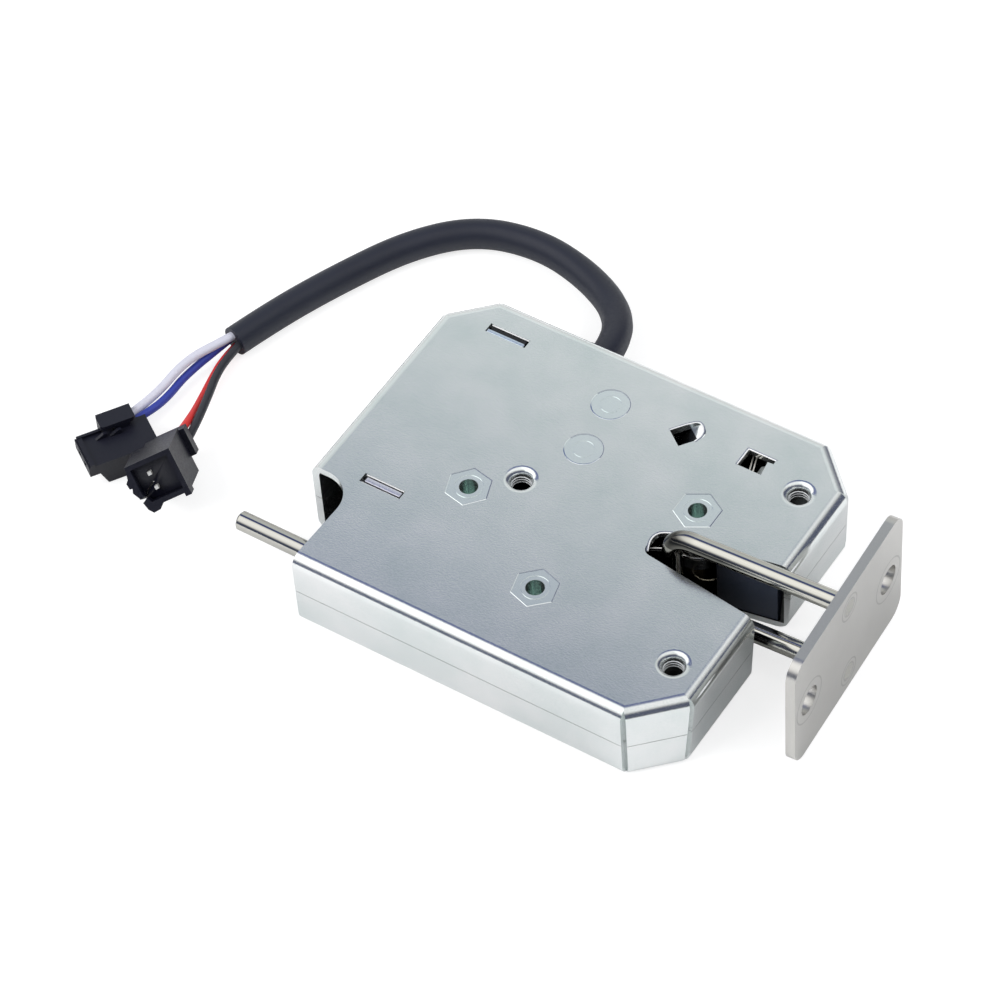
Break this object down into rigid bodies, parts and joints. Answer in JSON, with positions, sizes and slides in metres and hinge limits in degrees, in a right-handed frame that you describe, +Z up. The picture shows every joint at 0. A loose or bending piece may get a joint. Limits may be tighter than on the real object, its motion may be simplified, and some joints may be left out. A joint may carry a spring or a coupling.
{
  "type": "locks, latches and bolts",
  "caption": "Flat electromechanical cabinet lock: zinc-plated steel case with an open striker slot, release rod, wire-bow striker on a screw plate, and a lead ending in black connectors.",
  "frame": {"origin": "on the case's flat base, halfway across the case and close to halfway along the lock and striker together", "axes": "+X from the release rod towards the striker plate, along the longest extent; +Y towards the wall where the lead leaves; +Z up, the thickness of the case"},
  "size_m": [0.1307, 0.0863, 0.0229],
  "materials": {
    "shell_zinc": "bright blue-passivated zinc plating on pressed steel sheet, satin with a fine speckle",
    "hardware_zinc": "zinc plated, satin",
    "yoke_steel": "plated steel strip",
    "iron": "turned, smooth",
    "nickel_bar": "bright nickel",
    "stainless_plate": "satin stainless",
    "brass": "turned brass",
    "spring_steel": "drawn wire, bright",
    "copper_coil": "varnished copper winding",
    "black_nylon": "moulded black nylon, slight sheen",
    "switch_case": "moulded phenolic",
    "switch_button": "moulded",
    "tinned_contacts": "bright tin plating",
    "lead_pvc": "blue-black soft PVC, matte",
    "white_pvc": "soft PVC",
    "blue_pvc": "soft PVC",
    "red_pvc": "soft PVC",
    "black_pvc": "soft PVC"
  },
  "bodies": {
    "case": {"top_shell": "shell_zinc", "bottom_shell": "shell_zinc", "standoff_left": "hardware_zinc", "standoff_back": "hardware_zinc", "standoff_front": "hardware_zinc", "housing_screws": "hardware_zinc", "slot_guide": "black_nylon", "rod_guide": "black_nylon", "solenoid_yoke": "yoke_steel", "solenoid_bobbin": "black_nylon", "solenoid_coil": "copper_coil", "solenoid_core": "iron", "hook_spacer": "brass", "hook_spring": "spring_steel", "kicker_spacer": "brass", "switch_body": "switch_case", "switch_pins": "hardware_zinc", "switch_terminals": "tinned_contacts", "cable_grommet": "lead_pvc", "plunger_spring": "spring_steel", "kicker_spring": "spring_steel", "cable_sleeve": "lead_pvc", "wire_white": "white_pvc", "wire_blue": "blue_pvc", "wire_red": "red_pvc", "wire_black": "black_pvc", "plug_housing": "black_nylon", "socket_housing": "black_nylon", "socket_pins": "tinned_contacts"},
    "hook": {"latch_hook": "yoke_steel", "hook_bush": "brass"},
    "solenoid_plunger": {"plunger": "iron", "plunger_pin": "iron"},
    "rod": {"release_rod": "nickel_bar", "rod_pin": "iron", "rod_collar": "nickel_bar"},
    "kicker": {"striker_kicker": "yoke_steel"},
    "lever": {"switch_lever": "spring_steel"},
    "button": {"switch_button": "switch_button"},
    "striker": {"striker_bow": "nickel_bar", "striker_plate": "stainless_plate"}
  },
  "joints": [
    {"name": "hook_turn", "type": "hinge", "parent": "case", "child": "hook", "pos_m": [-0.017, -0.005, 0.01065], "axis": [0, 0, 1], "range_deg": [0, 11.7]},
    {"name": "plunger_slide", "type": "slide", "parent": "case", "child": "solenoid_plunger", "axis": [0, -1, 0], "range_m": [0, 0.0026], "deforming": ["plunger_spring"]},
    {"name": "release_rod_slide", "type": "slide", "parent": "case", "child": "rod", "axis": [1, 0, 0], "range_m": [0, 0.0038]},
    {"name": "switch_lever_turn", "type": "hinge", "parent": "case", "child": "lever", "pos_m": [-0.01539, 0.02263, 0.01065], "axis": [0, 0, 1], "range_deg": [-5.1, 0]},
    {"name": "switch_button_slide", "type": "slide", "parent": "case", "child": "button", "axis": [-0.9929, -0.1186, 0], "range_m": [0, 0.0006]},
    {"name": "kicker_turn", "type": "hinge", "parent": "case", "child": "kicker", "pos_m": [0.01594, 0.0086, 0.007], "axis": [0, 0, 1], "range_deg": [-22, 0], "stiffness_Nm_per_rad": 0.005},
    {"name": "striker_slide", "type": "slide", "parent": "case", "child": "striker", "axis": [0.999, 0.0436, 0], "range_m": [0, 0.035]}
  ],
  "couplings": [
    {"joint": "plunger_slide", "follows": "hook_turn", "m_per_rad": 0.0127},
    {"joint": "release_rod_slide", "follows": "hook_turn", "m_per_rad": 0.01851},
    {"joint": "switch_lever_turn", "follows": "hook_turn", "ratio": -0.43},
    {"joint": "switch_button_slide", "follows": "hook_turn", "m_per_rad": 0.00245}
  ]
}
